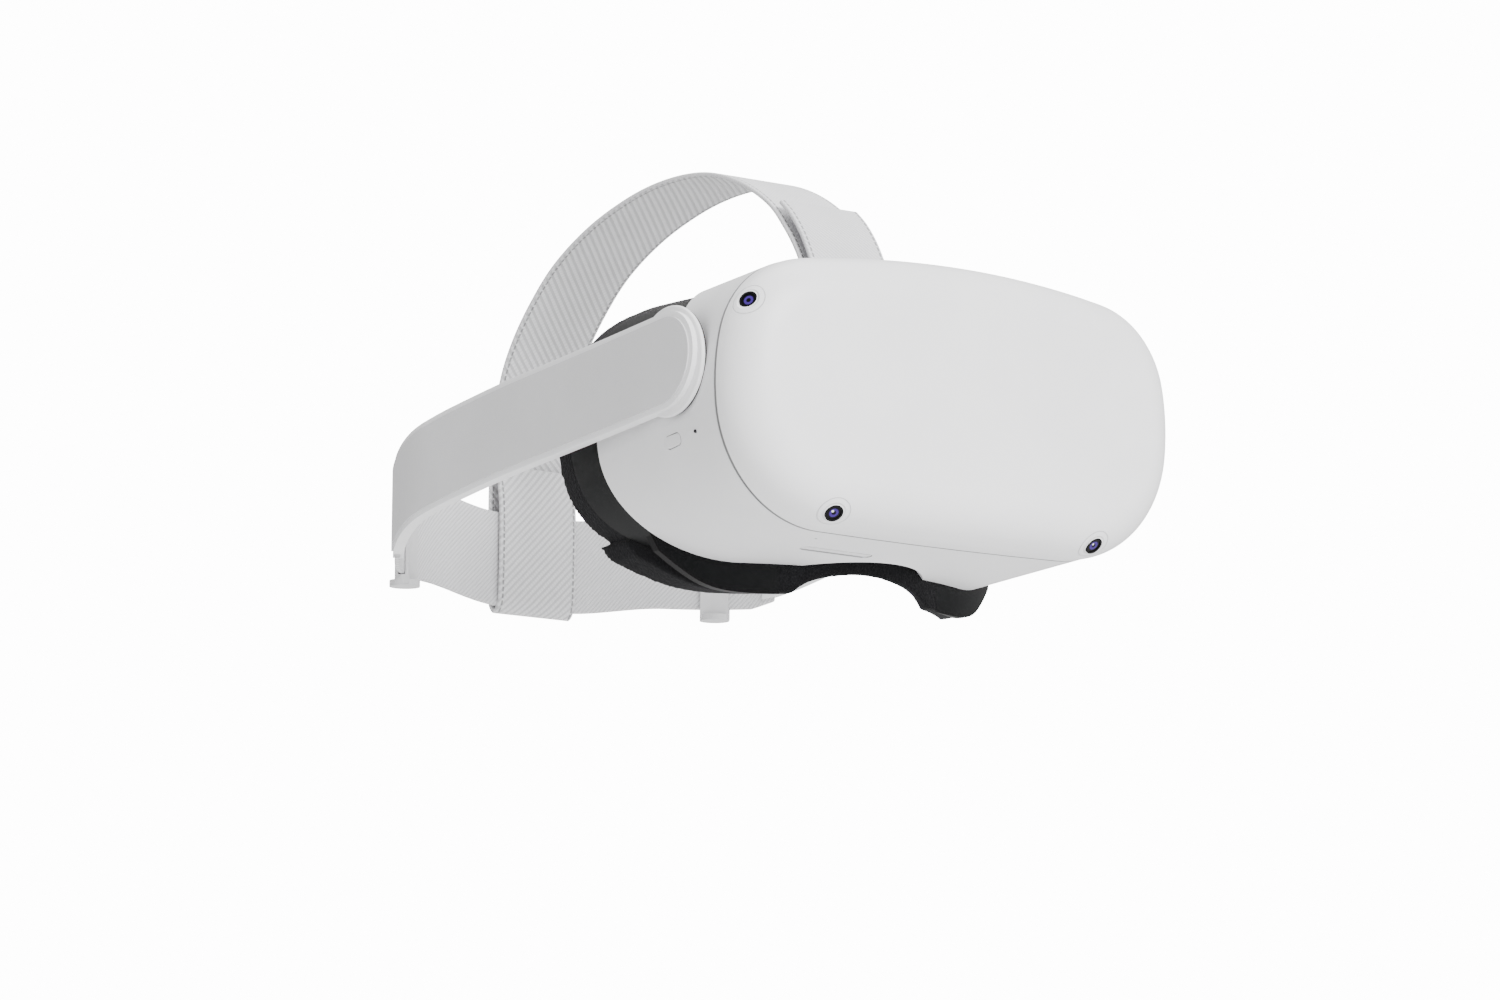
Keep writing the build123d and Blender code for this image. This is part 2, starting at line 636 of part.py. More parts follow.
save("front_cover", front_cover())
save("seam_gasket", seam_gasket())
save("housing", housing())
for where in CAMERAS:
    barrel, window = camera_barrel(where), camera_window(where)
    save(f"camera_{where}_left", barrel)
    save(f"camera_{where}_right", mirrored(barrel))
    save(f"camera_window_{where}_left", window)
    save(f"camera_window_{where}_right", mirrored(window))
for name, part in {
    "strap_post": strap_post(),
    "speaker": speaker(),
    "lens_carrier": lens_carrier(),
    "lens": lens(),
    "arm": arm(),
    "arm_skin": arm_skin(),
    "slider": slider(),
}.items():
    save(f"{name}_left", part)
    save(f"{name}_right", mirrored(part))
save("status_led", rod_x(LED_R, -89.8, -86.4, LED_Y, LED_Z))
for build in (
    top_strap_bar,
    power_button,
    power_switch,
    volume_rocker,
    volume_switch,
    usb_c_socket,
    audio_jack_socket,
    heat_spreader,
    mainboard,
    battery,
    fan_housing,
    fan_rotor,
    display_frame,
    display_panel,
    frame_screws,
    ipd_guide_rods,
    lens_surround,
    proximity_sensor,
    interface_frame,
    face_foam,
    rear_strap,
    top_strap_front,
    top_strap_rear,
):
    save(build.__name__, build())
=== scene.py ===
import json
import math

import bpy
from mathutils import Matrix, Vector

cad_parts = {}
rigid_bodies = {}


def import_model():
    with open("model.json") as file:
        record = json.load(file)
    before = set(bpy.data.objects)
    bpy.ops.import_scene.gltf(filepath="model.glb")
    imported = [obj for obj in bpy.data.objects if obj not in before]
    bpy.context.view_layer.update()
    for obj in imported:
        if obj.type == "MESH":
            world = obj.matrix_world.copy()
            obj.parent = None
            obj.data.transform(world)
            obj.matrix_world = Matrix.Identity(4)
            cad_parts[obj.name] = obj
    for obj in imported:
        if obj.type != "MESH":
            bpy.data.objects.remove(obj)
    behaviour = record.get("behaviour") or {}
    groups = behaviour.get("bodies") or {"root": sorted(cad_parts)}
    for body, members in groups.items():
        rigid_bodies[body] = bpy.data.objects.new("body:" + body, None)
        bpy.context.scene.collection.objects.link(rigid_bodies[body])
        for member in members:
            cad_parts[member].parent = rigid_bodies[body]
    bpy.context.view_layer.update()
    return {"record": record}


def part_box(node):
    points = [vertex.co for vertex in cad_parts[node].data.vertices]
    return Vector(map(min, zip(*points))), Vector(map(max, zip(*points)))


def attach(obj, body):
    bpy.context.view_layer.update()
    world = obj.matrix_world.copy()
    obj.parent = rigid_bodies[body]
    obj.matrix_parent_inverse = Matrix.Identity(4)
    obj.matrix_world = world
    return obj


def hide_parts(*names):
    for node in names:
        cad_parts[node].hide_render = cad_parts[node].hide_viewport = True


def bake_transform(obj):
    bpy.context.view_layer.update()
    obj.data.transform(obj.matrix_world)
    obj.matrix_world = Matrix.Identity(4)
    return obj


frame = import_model()
for made in bpy.context.selected_objects:
    made.select_set(False)

# Places are in mm from the middle of the front face, COVER_TOP m under the cover's top.
COVER_TOP = 0.048
cover_low, cover_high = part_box("front_cover")
FACE_Y, FACE_Z = cover_low[1], cover_high[2] - COVER_TOP


def at(x, y, z):
    """A place in mm from the middle of the front face, in the shared frame's metres."""
    return Vector((x / 1000, y / 1000 + FACE_Y, z / 1000 + FACE_Z))


# ---------------------------------------------------------------- camera, light, floor

AZIMUTH, BELOW, ROLL = math.radians(36.78), math.radians(9.25), math.radians(0.35)
DISTANCE, SHIFT_LEFT, SHIFT_DOWN = 2.044, 0.0277, 0.021
back = Vector(
    (-math.sin(AZIMUTH) * math.cos(BELOW), -math.cos(AZIMUTH) * math.cos(BELOW), -math.sin(BELOW))
)
right = Vector((math.cos(AZIMUTH), -math.sin(AZIMUTH), 0))
up = back.cross(right)
right, up = (
    right * math.cos(ROLL) + up * math.sin(ROLL),
    up * math.cos(ROLL) - right * math.sin(ROLL),
)
lens = bpy.data.cameras.new("Camera")
lens.sensor_width = 36
lens.lens = 145.17
camera = bpy.data.objects.new("Camera", lens)
bpy.context.scene.collection.objects.link(camera)
camera.location = at(0, 80, 0) + back * DISTANCE - right * SHIFT_LEFT - up * SHIFT_DOWN
turn = [[right[i], up[i], back[i]] for i in range(3)]
camera.rotation_euler = Matrix(turn).to_euler()
bpy.context.scene.camera = camera


def softbox(name, where, aim, size, watts):
    """A square studio light at a place, turned to a point."""
    data = bpy.data.lights.new(name, "AREA")
    data.shape = "SQUARE"
    data.size = size
    data.energy = watts
    lamp = bpy.data.objects.new(name, data)
    bpy.context.scene.collection.objects.link(lamp)
    lamp.location = where
    lamp.rotation_euler = (Vector(where) - aim).to_track_quat("Z", "Y").to_euler()


middle = at(0, 100, 10)
softbox("KeyLight", (-0.25, -2.1, 1.2), middle, 1.1, 105)
softbox("FrontFill", (0.9, -1.9, 0.2), middle, 1.4, 14)
softbox("SideFill", (-1.9, 0.6, 0.3), middle, 1.2, 5)
softbox("TopLight", (0.1, 0.2, 1.9), middle, 1.4, 34)


# ---------------------------------------------------------------- materials


class Value:
    """A node socket that arithmetic can be written on."""

    def __init__(self, shader, socket):
        self.shader, self.socket = shader, socket

    def _math(self, operation, first, second):
        return self.shader.node("ShaderNodeMath", {"operation": operation}, {0: first, 1: second})

    def __add__(self, other):
        return self._math("ADD", self, other)

    def __sub__(self, other):
        return self._math("SUBTRACT", self, other)

    def __mul__(self, other):
        return self._math("MULTIPLY", self, other)

    def sine(self):
        return self._math("SINE", self, 0.0)

    def fraction(self):
        return self._math("FRACT", self, 0.0)

    def above(self, edge):
        return self._math("GREATER_THAN", self, edge)

    def size(self):
        return self._math("ABSOLUTE", self, 0.0)

    def root(self):
        return self._math("SQRT", self, 0.0)

    def least(self, other):
        return self._math("MINIMUM", self, other)

    def most(self, other):
        return self._math("MAXIMUM", self, other)

    def ramp(self, low, high):
        """0 below low, 1 above high, and smooth between."""
        settings = {"interpolation_type": "SMOOTHSTEP"}
        return self.shader.node("ShaderNodeMapRange", settings, {0: self, 1: low, 2: high})


class Finish:
    """A material built round one Principled shader."""

    def __init__(self, name, **fixed):
        self.material = bpy.data.materials.new(name)
        self.material.use_nodes = True
        self.tree = self.material.node_tree
        self.surface = self.tree.nodes["Principled BSDF"]
        for label, value in fixed.items():
            self.set(label.replace("_", " "), value)

    def set(self, label, value):
        self._feed(self.surface.inputs[label], value)

    def _feed(self, socket, value):
        if isinstance(value, Value):
            self.tree.links.new(value.socket, socket)
        elif isinstance(value, tuple) and len(value) == 3 and len(socket.default_value) == 4:
            socket.default_value = (*value, 1.0)
        else:
            socket.default_value = value

    def node(self, kind, settings=None, inputs=None, output=0):
        made = self.tree.nodes.new(kind)
        for key, value in (settings or {}).items():
            setattr(made, key, value)
        for key, value in (inputs or {}).items():
            self._feed(made.inputs[key], value)
        return Value(self, made.outputs[output])

    def place(self, scale=(1.0, 1.0, 1.0), source="Object"):
        where = self.node("ShaderNodeTexCoord", output=source)
        return self.node("ShaderNodeMapping", inputs={"Vector": where, "Scale": scale})

    def parts(self, vector):
        split = self.node("ShaderNodeSeparateXYZ", inputs={0: vector})
        nodes = split.socket.node.outputs
        return [Value(self, nodes[i]) for i in range(3)]

    def noise(self, vector, scale, detail=2.0, roughness=0.5):
        inputs = {"Vector": vector, "Scale": scale, "Detail": detail, "Roughness": roughness}
        return self.node("ShaderNodeTexNoise", inputs=inputs)

    def blend(self, factor, low, high):
        inputs = {0: factor, 6: low, 7: high}
        return self.node("ShaderNodeMix", {"data_type": "RGBA"}, inputs, output=2)

    def far_from(self, spots):
        """The distance in mm to the nearest of some places."""
        x, y, z = self.parts(self.place())
        near = None
        for spot in spots:
            dx, dy, dz = x - spot.x, y - spot.y, z - spot.z
            far = (dx * dx + dy * dy + dz * dz).root() * 1000
            near = far if near is None else near.least(far)
        return near

    def bump(self, height, distance, strength=1.0):
        inputs = {"Height": height, "Distance": distance, "Strength": strength}
        self.set("Normal", self.node("ShaderNodeBump", inputs=inputs))


def moulded(name, colour, roughness, grain=2600.0, depth=0.00003, **fixed):
    """Moulded plastic: a fine spark grain and a faint unevenness of colour and gloss."""
    made = Finish(name, Roughness=roughness, **fixed)
    where = made.place()
    fine, slow = made.noise(where, grain), made.noise(where, 28.0, 3.0)
    dark = tuple(c * 0.96 for c in colour)
    made.set("Base Color", made.blend(slow.ramp(0.35, 0.65), (*dark, 1.0), (*colour, 1.0)))
    made.set("Roughness", (slow - 0.5) * 0.06 + roughness)
    made.bump(fine, depth)
    return made.material


EYE_PLACES = ((84.9, 14.1, 27.0), (54.6, 7.7, -40.4))  # the left upper and lower cameras
EYES = [at(side * x, y, z) for side in (-1, 1) for x, y, z in EYE_PLACES]
FASCIA_R, CHAMFER_R, LENS_RING_R = 5.7, 4.1, 1.25  # mm, round each camera
SEAM_FRONT, SEAM_GAP = at(0, 22, 0).y, 0.5  # the cover's rear edge, and the gap behind it in mm
BUTTON, BUTTON_HALF, BUTTON_TILT = at(-88, 49.9, -14.7), (4.5, 1.9), math.radians(-6)
ROCKER, ROCKER_HALF = at(-27, 42.5, -44.5), (14.1, 2.1)
PINHOLE = at(-44.6, 30.4, -44.9)
SHADOW = (0.10, 0.10, 0.105, 1.0)


def cover_plastic():
    """White plastic with a round fascia and a chamfer round each camera, the chamfer painted bright
    as a highlight.
    """
    made = Finish("cover plastic", Roughness=0.45)
    where = made.place()
    fine, slow = made.noise(where, 2600.0), made.noise(where, 28.0, 3.0)
    far = made.far_from(EYES)
    line = (far - FASCIA_R).size().ramp(0.22, 0.05)
    # Mask of each camera's chamfer: it sinks the bump and carries a painted highlight.
    chamfer_painted_bright = far.ramp(CHAMFER_R, CHAMFER_R - 0.6)
    tone = made.blend(slow.ramp(0.35, 0.65), (0.775, 0.775, 0.785, 1.0), (0.80, 0.80, 0.81, 1.0))
    tone = made.blend(line * 0.35, tone, (0.42, 0.42, 0.44, 1.0))
    # Painted highlight: the chamfer's colour is lifted where its slope catches the light.
    tone = made.blend(chamfer_painted_bright * 0.8, tone, (0.93, 0.93, 0.94, 1.0))
    edge = (made.parts(where)[1] - SEAM_FRONT) * 1000
    tone = made.blend(edge.ramp(-0.45, -0.25) * 0.75, tone, SHADOW)
    made.set("Base Color", tone)
    made.set("Roughness", (slow - 0.5) * 0.06 + 0.45)
    made.bump(fine * 0.1 - line - chamfer_painted_bright * 1.5, 0.00025)
    return made.material


def oblong_line(first, second, half_w, half_h, width):
    """1 on a thin line round an oblong, from two distances in mm to its middle lines."""
    past = (first.size() - (half_w - half_h)).most(0.0)
    reach = (past * past + second * second).root()
    return (reach - half_h - width / 2).size().ramp(width * 0.6, width * 0.3)


def housing_plastic():
    """Housing plastic with the shadow gaps of its button and rocker and a pinhole."""
    made = Finish("housing plastic", Roughness=0.5)
    where = made.place()
    fine, slow = made.noise(where, 2600.0), made.noise(where, 28.0, 3.0)
    x, y, z = made.parts(where)
    rise, run = (z - BUTTON.z) * 1000, (y - BUTTON.y) * 1000
    cos, sin = math.cos(BUTTON_TILT), math.sin(BUTTON_TILT)
    gap = oblong_line(run * cos + rise * sin, rise * cos - run * sin, *BUTTON_HALF, 0.3)
    gap = gap * (x * -1).above(0.08)
    slot = oblong_line((x - ROCKER.x) * 1000, (y - ROCKER.y) * 1000, *ROCKER_HALF, 0.35)
    slot = slot * (z * -1).above(-0.02)
    hole = made.far_from([PINHOLE]).ramp(0.55, 0.35)
    seam = ((y - SEAM_FRONT) * 1000 - SEAM_GAP).ramp(0.45, 0.25)
    dark = gap.most(slot * 0.8).most(hole).most(seam * 0.95)
    tone = made.blend(slow.ramp(0.35, 0.65), (0.715, 0.715, 0.725, 1.0), (0.74, 0.74, 0.75, 1.0))
    made.set("Base Color", made.blend(dark * 0.8, tone, SHADOW))
    made.set("Roughness", (slow - 0.5) * 0.06 + 0.5)
    made.bump(fine * 0.1 - dark, 0.0003)
    return made.material


white_shell = moulded("white shell", (0.74, 0.74, 0.75), 0.5)
white_cover = cover_plastic()
white_housing = housing_plastic()
white_rim = moulded("white rim", (0.80, 0.80, 0.81), 0.40)
grey_skin = moulded("grey facing", (0.60, 0.60, 0.61), 0.66, grain=3500.0, depth=0.00004)
black_shell = moulded(
    "black shell", (0.0035, 0.0035, 0.004), 0.40, depth=0.00002, Specular_IOR_Level=0.12
)
black_inner = moulded("black inner", (0.004, 0.004, 0.0045), 0.6, Specular_IOR_Level=0.1)
seam_dark = moulded("seam", (0.02, 0.02, 0.022), 0.8, Specular_IOR_Level=0.1)
board = moulded("circuit board", (0.01, 0.09, 0.05), 0.5)
foil = moulded("cell wrap", (0.05, 0.05, 0.055), 0.4)


def metal(name, colour, roughness):
    """Metal with fine drawn lines along x."""
    made = Finish(name, Metallic=1.0)
    where = made.place((1.0, 30.0, 30.0))
    lines = made.noise(where, 90.0, 3.0)
    low = tuple(c * 0.9 for c in colour)
    made.set("Base Color", made.blend(lines, (*low, 1.0), (*colour, 1.0)))
    made.set("Roughness", lines * 0.12 + roughness)
    made.bump(lines, 0.00002)
    return made.material


steel = metal("drawn steel", (0.62, 0.62, 0.63), 0.25)
alloy = metal("alloy", (0.75, 0.76, 0.78), 0.35)


def camera_lens():
    """Dark camera window: black rim, deep violet ring round a black middle, one small painted glint
    (a painted highlight).
    """
    made = Finish("camera glass", Roughness=0.12, Specular_IOR_Level=0.10)
    far = made.far_from(EYES)
    ring = (far - LENS_RING_R).size().ramp(0.55, 0.25)
    tone = made.blend(ring, (0.002, 0.002, 0.003, 1.0), (0.045, 0.022, 0.17, 1.0))
    # A painted highlight: a small near-white spot in the colour, off each camera's middle.
    painted_glint_spots = [spot + Vector((-0.0006, 0.0, 0.0007)) for spot in EYES]
    painted_glint = made.far_from(painted_glint_spots).ramp(0.55, 0.35)
    made.set("Base Color", made.blend(painted_glint, tone, (0.85, 0.85, 0.9, 1.0)))
    return made.material


def dark_glass(name, colour):
    """Glossy near-black glass with a slight smudge."""
    made = Finish(name, Roughness=0.05, IOR=1.5)
    smudge = made.noise(made.place(), 60.0, 3.0)
    light = tuple(c * 1.6 for c in colour)
    made.set("Base Color", made.blend(smudge, (*colour, 1.0), (*light, 1.0)))
    return made.material


def clear_lens():
    """Clear moulded lens."""
    made = Finish("lens", Roughness=0.02, IOR=1.49)
    made.set("Transmission Weight", 0.9)
    made.set("Base Color", (0.80, 0.83, 0.86))
    return made.material


display_glass = dark_glass("display", (0.004, 0.004, 0.006))

by_slot = {
    "white_shell": white_shell,
    "dark_rubber": seam_dark,
    "black_plastic": black_inner,
    "camera_glass": camera_lens(),
    "lens_glass": clear_lens(),
    "grey_skin": grey_skin,
    "strap_fabric": grey_skin,
    "foam_fabric": black_inner,
    "circuit_board": board,
    "steel": steel,
    "alloy": alloy,
    "cell_wrap": foil,
    "display_glass": display_glass,
    "led": display_glass,
}
for entry in frame["record"]["subparts"]:
    node = bpy.data.objects[entry["node"]]
    for holder in node.material_slots:
        holder.material = by_slot[entry["material_slot"]]
by_node = {
    "interface_frame": black_shell,
    "front_cover": white_cover,
    "housing": white_housing,
}
for name, finish in by_node.items():
    for holder in bpy.data.objects[name].material_slots:
        holder.material = finish

# ---------------------------------------------------------------- fabric


STITCH_STEP = 2.4  # mm from one stitch to the next


def webbing(name, width, length, colour, rib, depth=0.5, second=None, stitch=0.0):
    """Woven strap with diagonal ribs broken by the crossing threads.

    Sizes are in mm, and a rib of less than 0 leans the other way. second gives another rib and
    depth with the stretch of the strap that has them.
    """
    made = Finish(name, Roughness=0.85)
    made.set("Sheen Weight", 0.2)
    made.set("Sheen Roughness", 0.5)
    across, along, _ = made.parts(made.place(source="UV"))
    across, along = across * width, along * length
    fuzz, slow = made.noise(made.place(), 1400.0, 3.0), made.noise(made.place(), 45.0, 2.0)

    def ribs(spacing):
        turn = 2 * math.pi / (abs(spacing) * math.sqrt(2))
        lean = 1 if spacing > 0 else -1
        rows = ((along - across * lean) * turn).sine() * 0.5 + 0.5
        threads = ((along + across * lean) * (turn * 1.7)).sine() * 0.5 + 0.5
        return rows.ramp(0.1, 0.7) * (threads * 0.35 + 0.65)

    thread = ribs(rib) * depth + (1 - depth)
    if second:
        spacing, deep, start, end = second
        there = along.ramp(start - 1, start + 1) * along.ramp(end + 1, end - 1)
        thread = thread + there * (ribs(spacing) * deep + (1 - deep) - thread)
    shade = thread * 0.85 + fuzz * 0.2 + (slow - 0.5) * 0.2
    low = tuple(c * 0.42 for c in colour)
    tone = made.blend(shade, (*low, 1.0), (*colour, 1.0))
    height = thread + fuzz * 0.2
    if stitch:
        edge = (across - width / 2).size()
        seam = (edge - (width / 2 - stitch)).size().ramp(0.45, 0.25)
        dash = ((along * (1 / STITCH_STEP)).fraction() - 0.5).size().ramp(0.38, 0.3)
        tone = made.blend(seam * dash * 0.7, tone, (0.12, 0.12, 0.125, 1.0))
        height = height - seam * dash * 0.8
    made.set("Base Color", tone)
    made.bump(height, 0.00028, 0.9)
    return made.material


def grid(name, across, along, place):
    """A grid primitive whose points are moved by place(u, t), both from 0 to 1."""
    bpy.ops.mesh.primitive_grid_add(x_subdivisions=across, y_subdivisions=along, size=1)
    made = bpy.context.object
    made.name = made.data.name = name
    for point in made.data.vertices:
        point.co = place(point.co.x + 0.5, point.co.y + 0.5)
    made.select_set(False)
    return made


def shade_and_apply(made, angle=40):
    """Apply the modifiers in order and smooth what isn't a hard edge."""
    bpy.ops.object.select_all(action="DESELECT")
    bpy.context.view_layer.objects.active = made
    made.select_set(True)
    for modifier in list(made.modifiers):
        bpy.ops.object.modifier_apply(modifier=modifier.name)
    bpy.ops.object.mode_set(mode="EDIT")
    bpy.ops.mesh.select_all(action="SELECT")
    bpy.ops.mesh.normals_make_consistent(inside=False)
    bpy.ops.object.mode_set(mode="OBJECT")
    bpy.ops.object.shade_smooth_by_angle(angle=math.radians(angle))
    made.select_set(False)


def thicken(made, thickness, edge, segments=3):
    """Give a sheet its thickness in mm and round its edges."""
    wall = made.modifiers.new("Wall", "SOLIDIFY")
    wall.thickness, wall.offset = thickness / 1000, 0.0
    if len(made.data.materials) > 1:
        wall.material_offset = 1
    soft = made.modifiers.new("Edge", "BEVEL")
    soft.width, soft.segments = edge / 1000, segments
    soft.limit_method, soft.angle_limit = "ANGLE", math.radians(50)
    shade_and_apply(made)


def through(points, fine=24):
    """A smooth run through the points, as places and distances along it."""
    ends = [points[0] * 2 - points[1], *points, points[-1] * 2 - points[-2]]
    run = []
    for i in range(1, len(ends) - 2):
        a, b, c, d = ends[i - 1 : i + 3]
        for k in range(fine):
            t = k / fine
            square = (2 * a - 5 * b + 4 * c - d) * t**2
            cube = (3 * b - a - 3 * c + d) * t**3
            run.append(0.5 * (2 * b + (c - a) * t + square + cube))
    run.append(points[-1])
    far = [0.0]
    for a, b in zip(run, run[1:]):
        far.append(far[-1] + (b - a).length)
    return run, far


def point_on(run, far, t):
    """The place at a share t of a run."""
    want = min(max(t, 0.0), 1.0) * far[-1]
    low, high = 0, len(far) - 1
    while high - low > 1:
        half = (low + high) // 2
        if far[half] <= want:
            low = half
        else:
            high = half
    step = max(far[high] - far[low], 1e-9)
    return run[low].lerp(run[high], (want - far[low]) / step)


# The top strap's middle line in y and z, from the folded tail at the front to the rear flap.
TOP_TAIL = [(88.4, 81.0), (82.5, 75.6), (76.6, 68.0), (71.6, 59.0), (67.6, 50.5)]
TOP_TURN = [(64.8, 44.0), (64.4, 40.4), (65.8, 37.6), (68.4, 37.5), (70.0, 40.2)]
TOP_FRONT = [(71.2, 44.6), (74.6, 54.0), (79.6, 63.4), (85.6, 71.6), (94.3, 80.9)]
TOP_OVER = [(108, 89.6), (123.6, 95.8), (140, 98.8), (160, 98.8), (180, 95.8), (202, 89.4)]
TOP_DOWN = [(222.4, 79.4), (238, 66.4), (248.8, 53.6), (255.2, 41.0), (259.4, 24.0)]
TOP_BACK = [(260.8, 4.0), (260.6, -18.0), (260.3, -34.0), (259.7, -38.6), (257.2, -40.9)]
TOP_FLAP = [
    (254.8, -38.6), (253.9, -33.0), (253.6, -18.0), (253.8, -4.0), (255.0, 5.0), (257.0, 12.0)
]
TOP_W, TOP_T, WRAP_LONG, TAIL_LONG, STITCH_IN = 33.0, 1.6, 78, 52, 1.3
STRAP_GREY = (0.70, 0.70, 0.715)


def strap_over():
    """The strap over the head: slot, bar, crown, round the rear strap and sewn to itself."""
    line = TOP_TAIL + TOP_TURN + TOP_FRONT + TOP_OVER + TOP_DOWN + TOP_BACK + TOP_FLAP
    run, far = through([at(0, y, z) for y, z in line])

    def place(u, t):
        return point_on(run, far, t) + Vector(((u - 0.5) * TOP_W / 1000, 0, 0))

    made = grid("TopStrap", 12, 420, place)
    long = far[-1] * 1000
    wrap = (2.0, 0.6, long - WRAP_LONG, long)
    tail = (1.3, 0.4, 0, TAIL_LONG)
    faces = (("top strap outer", 0.9, 0.2, wrap), ("top strap inner", 2.3, 0.7, tail))
    for label, rib, depth, second in faces:
        weave = webbing(label, TOP_W, long, STRAP_GREY, rib, depth, second, STITCH_IN)
        made.data.materials.append(weave)
    thicken(made, TOP_T, 0.5)
    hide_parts("top_strap_front", "top_strap_rear")
    tuple(at(0, 82, 66))
    tuple(at(0, 130, 98))
    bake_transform(made)


# The head loop in plan: a straight side, a corner of radius LOOP_R, a slow back of BACK_R.
BAND_X, LOOP_R, LOOP_Y, BACK_Y = 91.5, 66.0, 186.6, 257.4
LOOP_X = BAND_X - LOOP_R
RISE = BACK_Y - LOOP_Y - LOOP_R
BACK_R = BACK_Y - LOOP_Y + (LOOP_X**2 - RISE**2) / (2 * RISE)
TURN = math.atan2(LOOP_Y - BACK_Y + BACK_R, LOOP_X)
ARM_X, ARM_FRONT_Y = 95.93 - 2.2, 20.0
STRAIGHT = math.hypot(ARM_X - BAND_X, LOOP_Y - ARM_FRONT_Y)


def on_loop(s, off):
    """The x and y of the loop's left half, s mm from its front end and off mm outwards."""
    if s < STRAIGHT:
        k = s / STRAIGHT
        return ARM_X + (BAND_X - ARM_X) * k + off, ARM_FRONT_Y + (LOOP_Y - ARM_FRONT_Y) * k
    angle = (s - STRAIGHT) / LOOP_R
    if angle < TURN:
        r = LOOP_R + off
        return LOOP_X + r * math.cos(angle), LOOP_Y + r * math.sin(angle)
    angle = TURN + (s - STRAIGHT - LOOP_R * TURN) / BACK_R
    r = BACK_R + off
    return r * math.cos(angle), BACK_Y - BACK_R + r * math.sin(angle)


HALF_LOOP = STRAIGHT + LOOP_R * TURN + BACK_R * (math.pi / 2 - TURN)
REAR_W, REAR_T, REAR_Z, REAR_DIP = 34.0, 2.0, -18.0, 4.0
REAR_RISE_Y, REAR_RISE = 228, 0.35  # forward of this y it rises towards the arm, at this slope


def strap_behind():
    """The strap round the back of the head, from arm to arm."""
    start = STRAIGHT + LOOP_R * math.radians(31)

    def place(u, t):
        s = start + (HALF_LOOP - start) * (1 - abs(2 * t - 1))
        side = 1 if t < 0.5 else -1
        x, y = on_loop(s, 0.0)
        ease = min(max((s - (STRAIGHT + LOOP_R * math.radians(66))) / 40, 0.0), 1.0)
        z = REAR_Z - REAR_DIP * ease * ease * (3 - 2 * ease)
        if y < REAR_RISE_Y:
            z += (REAR_RISE_Y - y) * REAR_RISE
        return at(side * x, y, z + (u - 0.5) * REAR_W)

    made = grid("RearStrap", 12, 220, place)
    long = 2 * (HALF_LOOP - start)
    made.data.materials.append(webbing("rear strap weave", REAR_W, long, STRAP_GREY, -1.25, 0.5))
    thicken(made, REAR_T, 0.7)
    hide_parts("rear_strap")
    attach(made, "head_strap")


# ---------------------------------------------------------------- arms

# The arm's middle line in y and z.
ARM_LINE = [
    (20, 13.2), (46, 10.5), (82, 6.7), (143, 0.8),
    (185, -4.8), (206, -9.8), (224, -16.6), (232, -18),
]
PIVOT_Y, PIVOT_Z, ARM_HALF, ARM_END = 46.0, 10.5, 16.0, 224.0
CAP_SHARE = 0.14  # the share of the sheet's rows that make its round end
# A thin dark disc between each collar and the housing: painted shade for the shadow gap there.
SHADE_DISC_IN, SHADE_DISC_OUT, SHADE_DISC_R = 91.1, 91.55, 18.0
COLLAR_OUT, COLLAR_R = 93.3, 18.4


def arm_height(y):
    """The height of the arm's middle line at y."""
    for (y0, z0), (y1, z1) in zip(ARM_LINE, ARM_LINE[1:]):
        if y <= y1:
            return z0 + (z1 - z0) * (y - y0) / (y1 - y0)
    return ARM_LINE[-1][1]


def loop_length(y):
    """How far along the loop the side reaches y."""
    if y < LOOP_Y:
        return (y - ARM_FRONT_Y) / (LOOP_Y - ARM_FRONT_Y) * STRAIGHT
    return STRAIGHT + LOOP_R * math.asin(min((y - LOOP_Y) / LOOP_R, 1.0))


def arm_sheet(name, side, inset, off):
    """A sheet in the arm's outline: round at the pivot, straight cut at the strap end."""
    half = ARM_HALF - inset
    front, rear = loop_length(PIVOT_Y), loop_length(ARM_END) - inset

    def place(u, t):
        wide = 2 * u - 1
        if t < CAP_SHARE:
            deep = t / CAP_SHARE - 1
            s = front + half * deep * math.sqrt(1 - wide * wide / 2)
            rise = half * wide * math.sqrt(1 - deep * deep / 2)
        else:
            s = front + (rear - front) * (t - CAP_SHARE) / (1 - CAP_SHARE)
            rise = half * wide
        x, y = on_loop(s, off)
        samples = [arm_height(y + d) for d in (-12, -6, 0, 6, 12)]
        return at(side * x, y, sum(samples) / 5 + rise)

    return grid(name, 24, 150, place)


def disc(name, radius, x0, x1, edge, finish):
    """A disc round the arm's pivot with a rounded rim. Sizes in mm."""
    where = at((x0 + x1) / 2, PIVOT_Y, PIVOT_Z)
    bpy.ops.object.select_all(action="DESELECT")
    bpy.ops.mesh.primitive_cylinder_add(
        vertices=96,
        radius=radius / 1000,
        depth=abs(x1 - x0) / 1000,
        location=where,
        rotation=(0, math.pi / 2, 0),
    )
    made = bpy.context.object
    made.name = made.data.name = name
    bpy.ops.object.transform_apply(location=True, rotation=True, scale=True)
    bpy.ops.object.mode_set(mode="EDIT")
    bpy.ops.mesh.select_all(action="SELECT")
    bpy.ops.mesh.bevel(offset=edge / 1000, segments=4, affect="EDGES")
    bpy.ops.object.mode_set(mode="OBJECT")
    made.data.materials.append(finish)
    shade_and_apply(made, 50)
    return made


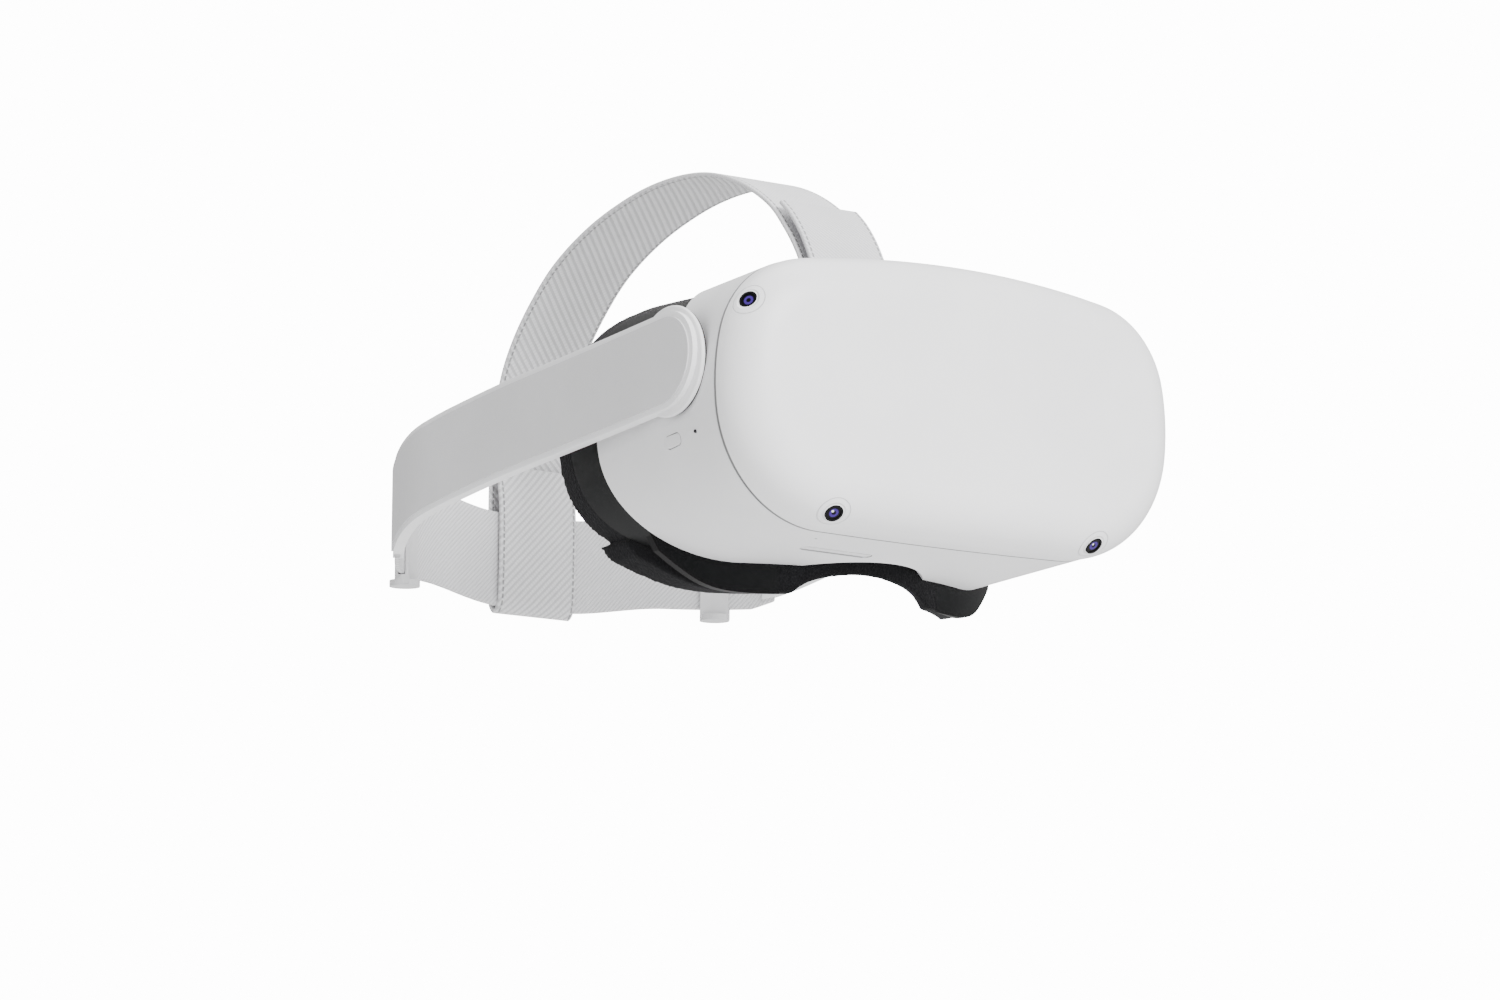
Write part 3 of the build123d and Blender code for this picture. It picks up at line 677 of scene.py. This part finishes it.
def arm(side, word):
    """One strap arm: a white shell with a rounded edge and a grey facing."""
    shell = arm_sheet(f"ArmShell{word}", side, 0.0, -0.3)
    shell.data.materials.append(white_rim)
    thicken(shell, 3.8, 1.3, 4)
    facing = arm_sheet(f"ArmFacing{word}", side, 1.9, 1.75)
    facing.data.materials.append(grey_skin)
    thicken(facing, 0.9, 0.4, 3)
    low = word.lower()
    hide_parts(f"arm_{low}")
    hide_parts(f"arm_skin_{low}")
    inner, outer = side * SHADE_DISC_IN, side * SHADE_DISC_OUT
    collar = disc(f"ArmCollar{word}", COLLAR_R, outer, side * COLLAR_OUT, 0.8, white_rim)
    # Painted shade: a dark disc under the collar stands for the shadow gap, not a real part.
    shade_disc = disc(f"ArmSeal{word}", SHADE_DISC_R, inner, outer, 0.1, seam_dark)
    for piece in (shell, facing, collar, shade_disc):
        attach(piece, "head_strap")


# ---------------------------------------------------------------- foam

FOAM_CELL = 0.0006
FOAM_DARK, FOAM_LIGHT = (0.003, 0.003, 0.0035, 1.0), (0.016, 0.016, 0.0175, 1.0)


def foam():
    """The face foam: a rounded knit-covered pad, from the CAD pad's own outline."""
    source = bpy.data.objects["face_foam"]
    made = bpy.data.objects.new("FaceFoam", source.data.copy())
    bpy.context.scene.collection.objects.link(made)
    made.matrix_world = source.matrix_world.copy()
    bpy.ops.object.select_all(action="DESELECT")
    bpy.context.view_layer.objects.active = made
    made.select_set(True)
    bpy.ops.object.transform_apply(location=True, rotation=True, scale=True)
    bpy.ops.object.mode_set(mode="EDIT")
    bpy.ops.mesh.select_all(action="SELECT")
    bpy.ops.mesh.remove_doubles(threshold=0.00002)
    bpy.ops.object.mode_set(mode="OBJECT")
    shape = made.modifiers.new("Shape", "REMESH")
    shape.mode, shape.voxel_size = "VOXEL", FOAM_CELL
    soft = made.modifiers.new("Soft", "SMOOTH")
    soft.factor, soft.iterations = 0.5, 6
    made.data.materials.clear()
    knit = Finish("foam knit", Roughness=0.95, Specular_IOR_Level=0.05)
    knit.set("Sheen Weight", 0.05)
    fine = knit.noise(knit.place(), 900.0, 4.0, 0.7)
    loops = knit.node("ShaderNodeTexVoronoi", inputs={"Vector": knit.place(), "Scale": 1100.0})
    knit.set("Base Color", knit.blend(fine, FOAM_DARK, FOAM_LIGHT))
    knit.bump(fine + loops * 0.6, 0.00035, 0.8)
    made.data.materials.append(knit.material)
    shade_and_apply(made, 80)
    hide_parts("face_foam")
    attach(made, "face_piece")


strap_over()
strap_behind()
arm(1, "Left")
arm(-1, "Right")
foam()

# ---------------------------------------------------------------- stage

SKY_LIGHT, PAPER_LIGHT = 0.72, 14.0  # the light on the part, and the backdrop as the camera sees it
FLOOR_SIZE, FLOOR_Z = 8, -0.45

world = bpy.data.worlds.new("Studio")
bpy.context.scene.world = world
world.use_nodes = True
nodes, join = world.node_tree.nodes, world.node_tree.links.new
sky, paper = nodes["Background"], nodes.new("ShaderNodeBackground")
for backdrop, strength in ((sky, SKY_LIGHT), (paper, PAPER_LIGHT)):
    backdrop.inputs["Color"].default_value = (1, 1, 1, 1)
    backdrop.inputs["Strength"].default_value = strength
seen, either = nodes.new("ShaderNodeLightPath"), nodes.new("ShaderNodeMixShader")
join(seen.outputs["Is Camera Ray"], either.inputs[0])
join(sky.outputs[0], either.inputs[1])
join(paper.outputs[0], either.inputs[2])
join(either.outputs[0], nodes["World Output"].inputs["Surface"])

bpy.ops.mesh.primitive_plane_add(size=FLOOR_SIZE, location=(0, 0, FLOOR_Z))
floor = bpy.context.object
floor.name = "Floor"
floor_finish = Finish("floor", Roughness=0.9)
floor_finish.set("Base Color", (0.9, 0.9, 0.9))
floor.data.materials.append(floor_finish.material)
